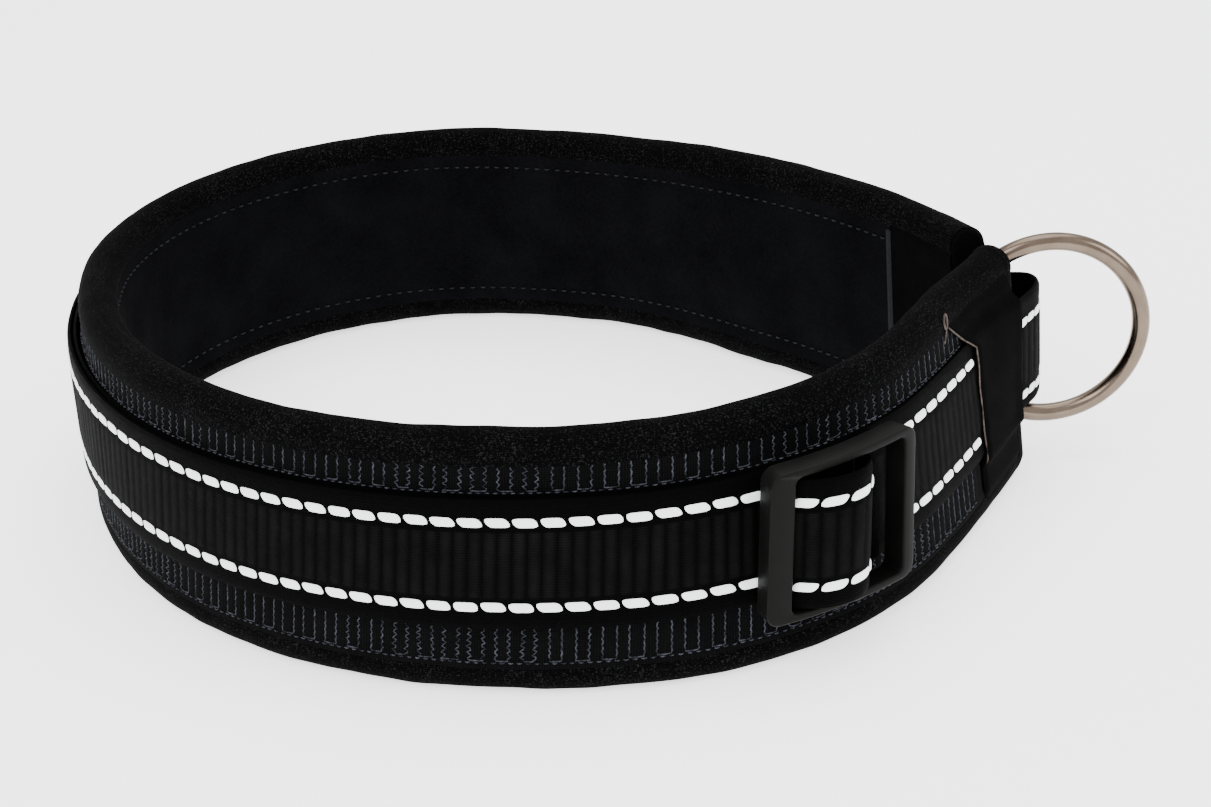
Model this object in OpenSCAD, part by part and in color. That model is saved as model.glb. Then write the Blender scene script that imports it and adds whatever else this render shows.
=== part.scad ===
// Padded martingale dog collar standing on its lower edge.
// The padded band is an egg-shaped oval made of tangent arcs. Its two ends almost
// meet at +X, where a webbing loop carries the leash ring. +Y is the far side.

/* [Band plan] */
// Centreline radius of the near side, from the far left round to the middle
near_r1 = 110; // [100:1:120]
// Centreline radius of the near side where the slider sits
near_r2 = 67; // [60:1:72]
// Turn of the near side where the slider sits, degrees
near_turn2 = 56; // [50:1:58]
// Centreline radius of the near side up to its end
near_r3 = 255; // [240:5:270]
// Centreline radius of the far side, from the far left
far_r1 = 68; // [64:1:72]
// Turn of the far side's first arc, degrees
far_turn1 = 109; // [106:1:112]
// Centreline radius of the far side up to its end
far_r2 = 166; // [160:1:172]

/* [Band section] */
// Height of the padded band
band_h = 50; // [44:1:56]
// Thickness of the padded band
band_t = 8; // [7:0.5:10]
// Thickness of the inner lining and of the outer facing
cloth_t = 1; // [0.8:0.1:1.5]
// Height of each rolled edge
roll_h = 5; // [5:0.5:6]
// How much the lower edge is pressed flat where it stands
stand_flat = 0.3; // [0.2:0.1:0.6]
// Gap between the two inner end corners
end_gap = 6; // [5.6:0.1:7]

/* [Webbing] */
// Webbing width
web_w = 25; // [24:1:26]
// Webbing thickness
web_t = 1.2; // [1:0.1:1.3]
// Height of the webbing's middle above the band's middle
web_rise = 2; // [0:0.1:2.1]
// How far the control loop stands out past the keeper mouths
loop_bulge = 6.2; // [3.6:0.1:6.2]
// Length of the loose tail round the far side
tail_far = 88; // [80:1:100]
// Length of each end keeper
end_keeper_l = 24; // [16:1:28]
// Length of the tail keeper
tail_keeper_l = 12; // [10:1:14]

/* [Slider] */
// Slider outside height
slider_h = 29.6; // [29.2:0.2:31]
// Slider length along the webbing
slider_l = 32; // [30:1:34]
// Slider thickness
slider_t = 5; // [4.6:0.1:5.4]
// Height of the slider window
window_h = 26.6; // [26.4:0.1:27]
// Left bar width
left_bar = 5; // [4:0.5:6]
// Right bar width
right_bar = 4; // [3:0.5:5]
// Slider place on the near side's second arc, degrees
slider_at = 301.7; // [300:0.1:303]

/* [Leash ring] */
// Ring inside diameter
ring_d = 35; // [34:1:36]
// Ring wire diameter
ring_wire = 3.8; // [3.4:0.1:4]
// Ring height above the middle of the webbing
ring_rise = 1.5; // [0:0.1:2.5]

/* [Hidden] */
$fn = 96;
step = 4;                    // degrees between places along a side
min_run = 0.5;               // shortest run between two places
bow_steps = 6;               // steps in each round stretch of a rolled edge

half_t = band_t / 2;
web_z = band_h / 2 + web_rise;
web_lo = web_z - web_w / 2;
web_hi = web_z + web_w / 2;
main_out = half_t + web_t;
tail_out = half_t + 2 * web_t;
arm_gap = 0.15;              // half the gap between the two arms at the left fold
binding_t = 1;               // end binding thickness over the cut end
flange_t = 0.8;              // end binding thickness over the lining
keeper_lap = 5;              // sewn land of a keeper above and below the webbing
side_play = 0.3;             // room beside the webbing in a keeper
clear = 0.3;                 // room between pieces that move past each other

// Arcs of each side: [radius, centre, start angle, turn], all from the far left fold
n1c = [near_r1, 0];
n2c = [near_r1, -(near_r1 - near_r2)];
n3_start = 270 + near_turn2;
n3c = n2c - (near_r3 - near_r2) * [cos(n3_start), sin(n3_start)];
f1c = [far_r1, 0];
f2_start = 180 - far_turn1;
f2c = f1c - (far_r2 - far_r1) * [cos(f2_start), sin(f2_start)];

// The ring plane is half way between the points where both sides would meet
tip_y = -32.4;
n3_end = 360 + asin((tip_y - end_gap / 2 - n3c[1]) / (near_r3 - half_t));
f2_end = asin((tip_y + end_gap / 2 - f2c[1]) / (far_r2 - half_t));
function turn_of(run, r) = run / r * 180 / PI;

// The last arc of a side, parted where the end keeper starts and where the binding starts
function last_arc(r, c, from, to) =
    let (way = sign(to - from), b = to - way * turn_of(binding_t, r),
        k = to - way * turn_of(end_keeper_l, r))
    [[r, c, from, k - from], [r, c, k, b - k], [r, c, b, to - b]];
NEAR = concat(
    [[near_r1, n1c, 180, 90], [near_r2, n2c, 270, near_turn2]],
    last_arc(near_r3, n3c, n3_start, n3_end));
FAR = concat([[far_r1, f1c, 180, -far_turn1]], last_arc(far_r2, f2c, f2_start, f2_end));

function arc_len(a) = a[0] * abs(a[3]) * PI / 180;
function len_before(side, i) = i == 0 ? 0 : len_before(side, i - 1) + arc_len(side[i - 1]);
near_len = len_before(NEAR, len(NEAR));
far_len = len_before(FAR, len(FAR));
function polar(c, r, a) = c + r * [cos(a), sin(a)];

// Webbing corners at the two keeper mouths, on the middle of the webbing's thickness
web_mid = half_t + web_t / 2;
near_mouth = polar(n3c, near_r3 + web_mid, n3_end);
far_mouth = polar(f2c, far_r2 + web_mid, f2_end);
loop_chord = far_mouth[1] - near_mouth[1];
loop_x = max(near_mouth[0], far_mouth[0]);
loop_y = (near_mouth[1] + far_mouth[1]) / 2;
loop_r = (loop_chord * loop_chord / 4 + loop_bulge * loop_bulge) / (2 * loop_bulge);
loop_half = asin(loop_chord / 2 / loop_r);
loop_c = [loop_x + loop_bulge - loop_r, loop_y];
loop_trim = 12;              // degrees left off each end of the loop, clear of the mouths
loop_front_x = loop_x + loop_bulge + web_t / 2;

// Leash ring: its centre is just past the loop, so its inner arc lies between the ends
ring_mid_r = ring_d / 2 + ring_wire / 2;
ring_past = 1.8;
ring_c = [loop_front_x + ring_past, tip_y];

// Slider, worked out as radii about the second near arc
slider_lift = 0.2;           // how much further out than its webbing the moulding sits
slider_in = near_r2 + tail_out + clear + slider_lift;
slider_out = slider_in + slider_t;
slider_mid = (slider_in + slider_out) / 2;
corner_r = 2.5;
bar_t = 1.8;
bar_w = 4;
bar_in = near_r2 + tail_out + clear + web_t;
bar_gap = 0.05;
bar_root = 0.5;              // how far the centre bar runs into the frame
bar_shift = 1;               // centre bar's place right of the slider's middle
fold_free_end = 2;           // webbing folded past the centre bar, below it
wrap_lift = 2 * web_t + bar_t + 2 * clear;
wrap_power = 0.55;           // below 1 flattens the top of the rise
window_corner = 1;
window_l = slider_l - left_bar - right_bar;
window_shift = (left_bar - right_bar) / 2;

// Origin: middle of the whole collar's box, on the surface it stands on
box_x = [-tail_out, ring_c[0] + ring_mid_r + ring_wire / 2];
box_y = [-(near_r1 + tail_out), far_r1 + main_out];
origin = [(box_x[0] + box_x[1]) / 2, (box_y[0] + box_y[1]) / 2];

module placed() {
    translate([-origin[0], -origin[1], 0]) children();
}

// One place on a side, a length s from the far left fold: [arc centre, radius, angle]
function arc_of(side, s, i = 0) =
    i == len(side) - 1 || s <= len_before(side, i + 1) ? i : arc_of(side, s, i + 1);
function spot(side, s) =
    let (i = arc_of(side, s), arc = side[i])
    [arc[1], arc[0], arc[2] + sign(arc[3]) * turn_of(s - len_before(side, i), arc[0])];
function out_of(at, o) = polar(at[0], at[1] + o, at[2]);

// Places along a side from length a to length b, no more than step degrees apart
function stations(side) = [
    for (i = [0 : len(side) - 1])
        let (n = ceil(abs(side[i][3]) / step))
        for (k = [0 : n - 1]) len_before(side, i) + arc_len(side[i]) * k / n];
function route(side, a, b) = [
    for (s = concat(
        [a], [for (t = stations(side)) if (t > a + min_run && t < b - min_run) t], [b]))
        spot(side, s)];

// A flat band of cloth or webbing along a side, between offsets o1 and o2
module ribbon(side, a, b, o1, o2, z1, z2) {
    way = route(side, a, b);
    last = len(way) - 1;
    translate([0, 0, z1]) linear_extrude(z2 - z1) polygon(concat(
        [for (k = [0 : last]) out_of(way[k], o2)],
        [for (k = [last : -1 : 0]) out_of(way[k], o1)]));
}

// A section, listed anticlockwise as [offset, height], carried along a side
module swept(side, a, b, section) {
    way = route(side, a, b);
    n = len(section);
    last = len(way) - 1;
    near = side[0][3] > 0;
    ring = [for (j = [0 : n - 1]) section[near ? j : n - 1 - j]];
    points = [for (at = way) for (p = ring) let (q = out_of(at, p[0])) [q[0], q[1], p[1]]];
    sides = [
        for (k = [0 : last - 1]) for (j = [0 : n - 1])
            let (m = (j + 1) % n) [k * n + j, k * n + m, (k + 1) * n + m, (k + 1) * n + j]];
    start = [for (j = [n - 1 : -1 : 0]) j];
    finish = [for (j = [0 : n - 1]) last * n + j];
    polyhedron(points, concat(sides, [start, finish]));
}

function bow(z, from, to) = [
    for (k = [0 : bow_steps])
        let (a = from + (to - from) * k / bow_steps) [half_t * cos(a), z + half_t * sin(a)]];
stand_z = half_t - stand_flat;
stand_a = acos(stand_z / half_t);
top_bow = bow(band_h - half_t, 0, 180);
foot_bow = concat(bow(stand_z, 180, 270 - stand_a), bow(stand_z, 270 + stand_a, 360));
top_roll_section = concat(top_bow, [[-half_t, band_h - roll_h], [half_t, band_h - roll_h]]);
foot_roll_section = concat([[-half_t, roll_h]], foot_bow, [[half_t, roll_h]]);

// A keeper: two sewn lands beside the webbing and a bridge over it
module keeper(side, a, b, over) {
    lo = web_lo - side_play;
    hi = web_hi + side_play;
    ribbon(side, a, b, half_t, over, lo - keeper_lap, lo);
    ribbon(side, a, b, half_t, over, hi, hi + keeper_lap);
    ribbon(side, a, b, over, over + web_t, lo - keeper_lap, hi + keeper_lap);
}

module inner_lining(side, total) {
    color("#22262b") placed()
        ribbon(side, arm_gap, total - binding_t, -half_t, cloth_t - half_t, roll_h, band_h - roll_h);
}

module foam_core(side, total) {
    color("#3a3a3c") placed() ribbon(side, arm_gap, total - binding_t,
        cloth_t - half_t, half_t - cloth_t, roll_h, band_h - roll_h);
}

module outer_facing(side, total) {
    color("#17181a") placed()
        ribbon(side, arm_gap, total - binding_t, half_t - cloth_t, half_t, roll_h, band_h - roll_h);
}

module top_edge_roll(side, total) {
    color("#1d1e20") placed() swept(side, arm_gap, total - binding_t, top_roll_section);
}

module bottom_edge_roll(side, total) {
    color("#141516") placed() swept(side, arm_gap, total - binding_t, foot_roll_section);
}

module end_binding(side, total) {
    color("#101112") placed() {
        swept(side, total - binding_t, total, concat(foot_bow, top_bow));
        ribbon(side, total - end_keeper_l, total,
            -half_t - flange_t, -half_t, roll_h, band_h - roll_h);
        ribbon(side, total - binding_t, total,
            -half_t - flange_t, cloth_t - half_t, roll_h, band_h - roll_h);
    }
}

module end_keeper(side, total) {
    color("#121314") placed() keeper(side, total - end_keeper_l, total, main_out);
}

module main_strap(side, total) {
    color("#0c0d0e") placed() ribbon(side, arm_gap, total, half_t, main_out, web_lo, web_hi);
}

module tail_strap(side, to) {
    color("#0e0f10") placed() ribbon(side, arm_gap, to, main_out, tail_out, web_lo, web_hi);
}

module tail_keeper() {
    at = tail_far - 2 * tail_keeper_l;
    color("#121314") placed() keeper(FAR, at, at + tail_keeper_l, tail_out);
}

module control_loop() {
    span = 2 * (loop_half - loop_trim);
    color("#0c0d0e") placed() translate([loop_c[0], loop_c[1], 0])
        rotate([0, 0, -span / 2]) rotate_extrude(angle = span)
            translate([loop_r - web_t / 2, web_lo]) square([web_t, web_w]);
}

module leash_ring() {
    color("#b9aea2") placed() translate([ring_c[0], ring_c[1], web_z + ring_rise])
        rotate([90, 0, 0]) rotate_extrude() translate([ring_mid_r, 0]) circle(ring_wire / 2);
}

// Places shapes about the second near arc, turned to the slider's angle
module at_slider() {
    placed() translate([n2c[0], n2c[1], 0]) rotate([0, 0, slider_at]) children();
}

slab_turn = 60;
// A curved slab of the slider, seen square on as its child outline
module slider_slab(r1, r2) {
    intersection() {
        rotate([0, 0, -slab_turn / 2]) rotate_extrude(angle = slab_turn, $fn = 180)
            translate([r1, web_z - slider_h]) square([r2 - r1, 2 * slider_h]);
        translate([0, 0, web_z]) rotate([90, 0, 90])
            linear_extrude(2 * slider_out) children();
    }
}

module rounded_plate(w, h, r) {
    square([w - 2 * r, h], center = true);
    square([w, h - 2 * r], center = true);
    for (x = [-1, 1], y = [-1, 1])
        translate([x * (w / 2 - r), y * (h / 2 - r)]) circle(r);
}

module slider_frame() {
    color("#2b2c2e") at_slider() union() {
        slider_slab(slider_in, slider_out) difference() {
            rounded_plate(slider_l, slider_h, corner_r);
            translate([window_shift, 0]) rounded_plate(window_l, window_h, window_corner);
        }
        translate([bar_in, bar_shift - bar_w / 2, web_z - window_h / 2 - bar_root])
            cube([bar_t, bar_w, window_h + 2 * bar_root]);
    }
}

// Webbing end folded round the slider's centre bar
module slider_strap_fold() {
    left = bar_shift - bar_w / 2 - fold_free_end;
    right = bar_shift + bar_w / 2 + bar_gap;
    color("#0a0b0c") at_slider() difference() {
        translate([bar_in - web_t, left, web_lo]) cube([bar_t + 2 * web_t, right + web_t - left, web_w]);
        translate([bar_in - bar_gap, left - 1, web_lo - 1])
            cube([bar_t + 2 * bar_gap, right - left + 1, web_w + 2]);
    }
}

// Webbing that rises out of the right slot, over the fold and into the left slot
function wrap_r(u) = near_r2 + tail_out + clear + web_t / 2
    + wrap_lift * pow(sin(180 * u), wrap_power);
module slider_strap_wrap() {
    steps = 28;
    half_a = turn_of(window_l / 2 - clear, slider_mid);
    mid_a = turn_of(window_shift, slider_mid);
    arc = [for (i = [0 : steps]) [wrap_r(i / steps), mid_a + half_a * (2 * i / steps - 1)]];
    outline = concat(
        [for (p = arc) polar([0, 0], p[0] + web_t / 2, p[1])],
        [for (i = [steps : -1 : 0]) polar([0, 0], arc[i][0] - web_t / 2, arc[i][1])]);
    color("#0c0d0e") at_slider() translate([0, 0, web_lo])
        linear_extrude(web_w) polygon(outline);
}

// The front tail ends hidden under the slider's right bar
tail_near = len_before(NEAR, 1)
    + near_r2 * (slider_at - 270 + turn_of(slider_l / 2 - right_bar, slider_mid)) * PI / 180;

inner_lining(NEAR, near_len);  // inner_lining_front
foam_core(NEAR, near_len);  // foam_core_front
outer_facing(NEAR, near_len);  // outer_facing_front
top_edge_roll(NEAR, near_len);  // top_edge_roll_front
bottom_edge_roll(NEAR, near_len);  // bottom_edge_roll_front
end_binding(NEAR, near_len);  // end_binding_front
end_keeper(NEAR, near_len);  // end_keeper_front
main_strap(NEAR, near_len);  // main_strap_front
tail_strap(NEAR, tail_near);  // tail_strap_front
inner_lining(FAR, far_len);  // inner_lining_back
foam_core(FAR, far_len);  // foam_core_back
outer_facing(FAR, far_len);  // outer_facing_back
top_edge_roll(FAR, far_len);  // top_edge_roll_back
bottom_edge_roll(FAR, far_len);  // bottom_edge_roll_back
end_binding(FAR, far_len);  // end_binding_back
end_keeper(FAR, far_len);  // end_keeper_back
main_strap(FAR, far_len);  // main_strap_back
tail_strap(FAR, tail_far);  // tail_strap_back
tail_keeper();
control_loop();
leash_ring();
slider_frame();
slider_strap_fold();
slider_strap_wrap();
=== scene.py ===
import math

import bpy
import numpy as np
from mathutils import Matrix, Vector


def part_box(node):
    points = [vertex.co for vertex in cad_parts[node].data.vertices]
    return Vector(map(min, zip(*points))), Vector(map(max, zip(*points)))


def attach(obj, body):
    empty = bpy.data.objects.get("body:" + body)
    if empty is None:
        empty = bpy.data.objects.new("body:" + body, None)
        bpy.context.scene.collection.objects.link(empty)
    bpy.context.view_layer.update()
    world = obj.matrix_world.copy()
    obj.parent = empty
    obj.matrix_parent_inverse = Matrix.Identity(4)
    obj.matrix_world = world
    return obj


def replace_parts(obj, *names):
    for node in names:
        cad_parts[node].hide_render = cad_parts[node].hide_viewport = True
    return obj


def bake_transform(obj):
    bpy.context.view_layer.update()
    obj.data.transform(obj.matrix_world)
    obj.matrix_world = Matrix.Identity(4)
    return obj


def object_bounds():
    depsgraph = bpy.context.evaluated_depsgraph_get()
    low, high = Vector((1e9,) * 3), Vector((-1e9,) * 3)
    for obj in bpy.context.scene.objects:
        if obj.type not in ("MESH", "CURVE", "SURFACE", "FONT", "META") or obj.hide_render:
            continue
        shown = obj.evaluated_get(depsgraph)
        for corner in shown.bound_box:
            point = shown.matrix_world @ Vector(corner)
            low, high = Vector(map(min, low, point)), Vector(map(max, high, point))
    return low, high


# A martingale collar: padded band, webbing strap with a loose tail, control loop, slider and ring.
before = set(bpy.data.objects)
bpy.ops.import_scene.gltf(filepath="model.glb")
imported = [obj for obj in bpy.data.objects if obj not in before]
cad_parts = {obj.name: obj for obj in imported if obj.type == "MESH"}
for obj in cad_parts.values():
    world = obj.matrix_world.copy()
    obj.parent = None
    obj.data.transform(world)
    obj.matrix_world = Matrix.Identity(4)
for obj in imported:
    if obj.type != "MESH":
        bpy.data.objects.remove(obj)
cad_low, cad_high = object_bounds()

# ---------------------------------------------------------------- sizes, in millimetres
MM = 0.001
HALF_T = 4.0                 # half the padded band's thickness
WEB_T = 1.2                  # webbing thickness
NEAR_RADII, NEAR_TURNS = (110.0, 67.0, 255.0), (90.0, 56.0)
FAR_RADII, FAR_TURNS = (68.0, 166.0), (109.0,)
TIP_Y, END_GAP = -32.4, 6.0  # ring plane, and the gap between the two inner end corners
LEAN = 0.104                 # how far the walls lean in, per millimetre of height
SKEW = 0.085                 # how far the near side's cloth is drawn towards the ring, likewise
SKEW_FROM, SKEW_FULL, SKEW_FADES = 15, 90, 225   # lengths from the left fold where that changes
FAR_TWIST, FOLD_TWIST = 0.13, 0.035              # how much steeper the far side and the fold stand
STAND, STAND_L = 3.1, 26     # how far the near side's end stands out, and over what length
DASH_PITCH, DASH_L, DASH_W = 4.86, 4.15, 1.72    # one dash of reflective yarn
BAND_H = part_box("top_edge_roll_front")[1].z / MM
WEB_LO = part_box("main_strap_front")[0].z / MM
WEB_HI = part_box("main_strap_front")[1].z / MM
WEB_Z = (WEB_LO + WEB_HI) / 2
MAIN_O = HALF_T              # inner face of the main webbing, out from the centreline
TAIL_O = HALF_T + WEB_T
FOLD = np.array([cad_low.x / MM + HALF_T + 2 * WEB_T,
                 cad_high.y / MM - FAR_RADII[0] - HALF_T - WEB_T])
ROW_GAP = 16.4               # between the two reflective rows
RIB = 2.6                    # pitch of the webbing's cross ribs
ROW_SEAT = WEB_T - 0.24      # where the dashes' own bed lies, up from the webbing's inner face
KEEPER_L = 24.5              # sewn end of the band that covers the webbing
KEEPER_SHORT = {"front": 5.6, "back": 1.4}       # how far each keeper's mouth is from the band's end
SLANT_Z, SLANT_TALL = 38.0, 8.0                  # where the front keeper's seam starts to slant back
SLIDER_TURN = 30.7           # slider place on the near side's second arc, degrees
TAIL_FAR, TAIL_NEAR = 88.0, 220.0                # loose tail, each way from the left fold
seeded = np.random.default_rng(7)


# ---------------------------------------------------------------- the band's route
def unit(degrees):
    return np.array([math.cos(math.radians(degrees)), math.sin(math.radians(degrees))])


def tangent_arcs(radii, turns, way, end_y):
    """Arcs from the left fold: (length before, radius, centre, start angle), and the whole length."""
    centre, angle, length, arcs = np.array([radii[0], 0.0]), 180.0, 0.0, []
    for k, radius in enumerate(radii):
        if k:
            centre = centre - (radius - radii[k - 1]) * unit(angle)
        if k < len(turns):
            turn = turns[k]
        else:
            last = math.degrees(math.asin((end_y - centre[1]) / (radius - HALF_T)))
            turn = abs((last - angle + 180) % 360 - 180)
        arcs.append((length, radius, centre, angle))
        length += radius * math.radians(turn)
        angle += way * turn
    return arcs, length


NEAR, NEAR_L = tangent_arcs(NEAR_RADII, NEAR_TURNS, 1, TIP_Y - END_GAP / 2)
FAR, FAR_L = tangent_arcs(FAR_RADII, FAR_TURNS, -1, TIP_Y + END_GAP / 2)
SLIDER_S = NEAR[1][0] + NEAR_RADII[1] * math.radians(SLIDER_TURN)


def ease(x, low, high):
    """0 below low, 1 above high and a smooth rise between them."""
    t = np.clip((x - low) / (high - low), 0, 1)
    return t * t * (3 - 2 * t)


def matched(*values):
    """The values as float arrays of one shape."""
    return (np.asarray(v, float) for v in np.broadcast_arrays(*values))


def place(s, o, z):
    """Points a length s from the left fold (the near side below 0), o out from the centreline, z up."""
    s, o, z = matched(s, o, z)
    s = s - SKEW * ease(-s, SKEW_FROM, SKEW_FULL) * (1 - ease(-s, SKEW_FADES, NEAR_L)) * (z - WEB_Z)
    twist = FAR_TWIST * ease(s, 150, 205) * (1 - ease(s, 235, FAR_L)) \
        + FOLD_TWIST * np.exp(-((s + 25) / 45) ** 2)
    top = BAND_H - HALF_T
    stand = STAND * ease(-s, NEAR_L - STAND_L, NEAR_L) * (0.35 + 0.65 * ease(z, 10, 42))
    lean = o + stand - LEAN * (top - BAND_H / 2) - (LEAN - twist) * (z - top)
    out = np.empty(s.shape + (3,))
    for way, arcs, mine in ((1, NEAR, s < 0), (-1, FAR, s >= 0)):
        run = np.abs(s)
        for k, (before, radius, centre, angle) in enumerate(arcs):
            after = arcs[k + 1][0] if k + 1 < len(arcs) else math.inf
            here = mine & (run >= before) & (run < after)
            a = math.radians(angle) + way * (run[here] - before) / radius
            out[here, 0] = FOLD[0] + centre[0] + (radius + lean[here]) * np.cos(a)
            out[here, 1] = FOLD[1] + centre[1] + (radius + lean[here]) * np.sin(a)
    out[..., 2] = z
    return out


def band_bed(base, side=1):
    """A surface to build on: side 1 faces out, side -1 faces the neck."""
    return lambda run, lift, z: place(run, side * (base + lift), z)


def smooth_noise(x, size, seed):
    """Slow, repeatable unevenness along a length, about -1 to 1."""
    waves = np.random.default_rng(seed)
    total = 0
    for k in range(5):
        total = total + np.sin(x / size * waves.uniform(0.7, 2.4) + waves.uniform(0, 6.3))
    return total / 3.2


# ---------------------------------------------------------------- finishes
class Value:
    """A number socket that Python can do sums with."""

    def __init__(self, finish, socket):
        self.finish, self.socket = finish, socket

    def _sum(self, operation, a, b=0.0):
        return self.finish.node("ShaderNodeMath", {"operation": operation}, {0: a, 1: b}).out()

    def __add__(self, other):
        return self._sum("ADD", self, other)

    def __sub__(self, other):
        return self._sum("SUBTRACT", self, other)

    def __mul__(self, other):
        return self._sum("MULTIPLY", self, other)

    def __rsub__(self, other):
        return self._sum("SUBTRACT", other, self)

    __radd__, __rmul__ = __add__, __mul__

    def wave(self, period):
        """A ripple from -1 to 1 that repeats every period."""
        return self._sum("SINE", self * (2 * math.pi / period))

    def size(self):
        return self._sum("ABSOLUTE", self)

    def clamped(self):
        return self._sum("MINIMUM", self._sum("MAXIMUM", self, 0.0), 1.0)


class Made:
    def __init__(self, finish, node):
        self.finish, self.node = finish, node

    def out(self, name=0):
        return Value(self.finish, self.node.outputs[name])


class Finish:
    """One material, with its shader's steady values set on its own sockets."""

    def __init__(self, name, **steady):
        self.material = bpy.data.materials.new(name)
        self.material.use_nodes = True
        self.tree = self.material.node_tree
        self.shader = self.tree.nodes["Principled BSDF"]
        for socket, value in steady.items():
            self.shader.inputs[socket.replace("_", " ")].default_value = value

    def node(self, kind, settings=None, values=None):
        made = self.tree.nodes.new(kind)
        for key, value in (settings or {}).items():
            setattr(made, key, value)
        for key, value in (values or {}).items():
            if isinstance(value, Value):
                self.tree.links.new(value.socket, made.inputs[key])
            else:
                made.inputs[key].default_value = value
        return Made(self, made)

    def run(self):
        """Millimetres along the piece, and across it."""
        spread = self.node("ShaderNodeAttribute", {"attribute_name": "run"}).out("Vector")
        parts = self.node("ShaderNodeSeparateXYZ", values={0: spread})
        return parts.out(0), parts.out(1)

    def grain(self, size_mm, detail=3.0, roughness=0.6):
        place_of = self.node("ShaderNodeTexCoord").out("Object")
        return self.node("ShaderNodeTexNoise", {"noise_dimensions": "3D"}, {
            "Vector": place_of, "Scale": 1 / (size_mm * MM), "Detail": detail,
            "Roughness": roughness}).out(0)

    def mix(self, amount, low, high):
        return self.node("ShaderNodeMix", {"data_type": "RGBA"}, {
            0: amount, 6: (*low, 1), 7: (*high, 1)}).out(2)

    def colour(self, amount, low, high):
        self.tree.links.new(self.mix(amount, low, high).socket, self.shader.inputs["Base Color"])

    def rough(self, value):
        self.tree.links.new(value.socket, self.shader.inputs["Roughness"])

    def bump(self, height, depth_mm, strength=1.0):
        relief = self.node("ShaderNodeBump", values={
            "Height": height, "Distance": depth_mm * MM, "Strength": strength})
        self.tree.links.new(relief.out(0).socket, self.shader.inputs["Normal"])


def edge_knit():
    made = Finish("black_edge_knit", Roughness=0.9, Specular_IOR_Level=0.02)
    along, across = made.run()
    courses = across.wave(0.42) * 0.5 + 0.5
    stitches = (along + across.wave(0.84) * 0.12).wave(0.62) * 0.5 + 0.5
    speckle = made.grain(0.42, 3.0, 0.75)
    height = courses * 0.55 + stitches * 0.3 + speckle * 0.5
    made.colour((speckle * 5.0 + courses * 0.25 + made.grain(9.0) * 0.6 - 3.15).clamped(),
                (0.0008, 0.0008, 0.0009), (0.019, 0.019, 0.0205))
    made.bump(height, 0.11, 0.7)
    return made.material


def facing_cloth():
    made = Finish("black_facing_knit", Roughness=0.9, Specular_IOR_Level=0.03)
    along, across = made.run()
    height = along.wave(0.5) * 0.25 + across.wave(0.45) * 0.25 + made.grain(0.5, 3.0) * 0.9
    made.colour((height * 0.5 + made.grain(7.0) * 0.5 - 0.3).clamped(),
                (0.0008, 0.0008, 0.0009), (0.0055, 0.0055, 0.0062))
    made.bump(height, 0.09, 0.6)
    return made.material


def lining_cloth():
    made = Finish("brushed_lining", Roughness=0.95, Specular_IOR_Level=0.015)
    nap, patches = made.grain(0.7, 4.0, 0.7), made.grain(14.0, 2.0)
    made.colour((nap * 0.8 + patches * 0.7 - 0.42).clamped(),
                (0.0008, 0.0008, 0.0010), (0.0058, 0.0060, 0.0070))
    made.bump(nap * 0.7 + made.grain(0.25, 2.0) * 0.3, 0.16, 0.7)
    return made.material


def webbing():
    made = Finish("black_webbing", Specular_IOR_Level=0.02)
    along, across = made.run()
    yarns = (along + across).wave(0.62) * (along - across).wave(0.62)
    height = yarns * 0.5 + across.wave(0.5) * 0.3 + made.grain(0.3, 2.0) * 0.5
    # Painted light and shade: rib crests are coloured lighter and their grooves darker, with uneven
    # contrast.
    rib_shading = along.wave(2 * RIB).size() * ((6.6 - (across - WEB_Z).size()) * 2).clamped()
    made.colour((height * 0.3 + rib_shading * made.grain(6.0) * 1.1 - 0.12).clamped(),
                (0.0003, 0.0003, 0.0003), (0.0050, 0.0050, 0.0050))
    made.rough(made.grain(1.1) * 0.25 + 0.6)
    made.bump(height, 0.08, 0.6)
    return made.material


def reflective_yarn():
    # The emission is a painted glow: it stands in for light that the reflective yarn throws back
    # towards the camera.
    made = Finish("white_reflective_yarn", Roughness=0.6, Emission_Strength=0.5,
                  Emission_Color=(0.95, 0.97, 1.0, 1))
    along, across = made.run()
    twist = (along * 0.6 + across).wave(0.34)
    made.colour((twist * 0.25 + made.grain(0.8) * 0.5 + 0.3).clamped(),
                (0.80, 0.82, 0.83), (0.97, 0.98, 0.99))
    made.bump(twist, 0.05, 0.4)
    return made.material


def sewing_thread(name, low, high):
    made = Finish(name, Roughness=0.6, Specular_IOR_Level=0.1)
    along, across = made.run()
    ply = (along + across * 0.5).wave(0.45)
    made.colour((made.grain(0.9, 3.0) * 3.0 - 1.15 + ply * 0.15).clamped(), low, high)
    made.bump(ply, 0.04, 0.5)
    return made.material


def binding_cloth():
    made = Finish("black_end_cloth", Roughness=0.9, Specular_IOR_Level=0.015)
    along, across = made.run()
    height = along.wave(0.6) * across.wave(0.6) * 0.5 + made.grain(0.6, 3.0)
    made.colour((height * 0.6 + made.grain(6.0) * 0.5 - 0.35).clamped(),
                (0.0005, 0.0005, 0.0005), (0.0042, 0.0041, 0.0043))
    made.bump(height, 0.08, 0.6)
    return made.material


def pale_selvedge():
    made = Finish("grey_lining_edge", Roughness=0.9, Specular_IOR_Level=0.05)
    nap = made.grain(0.5, 3.0)
    made.colour(nap, (0.003, 0.003, 0.0035), (0.020, 0.021, 0.024))
    made.bump(nap, 0.1, 0.6)
    return made.material


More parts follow.
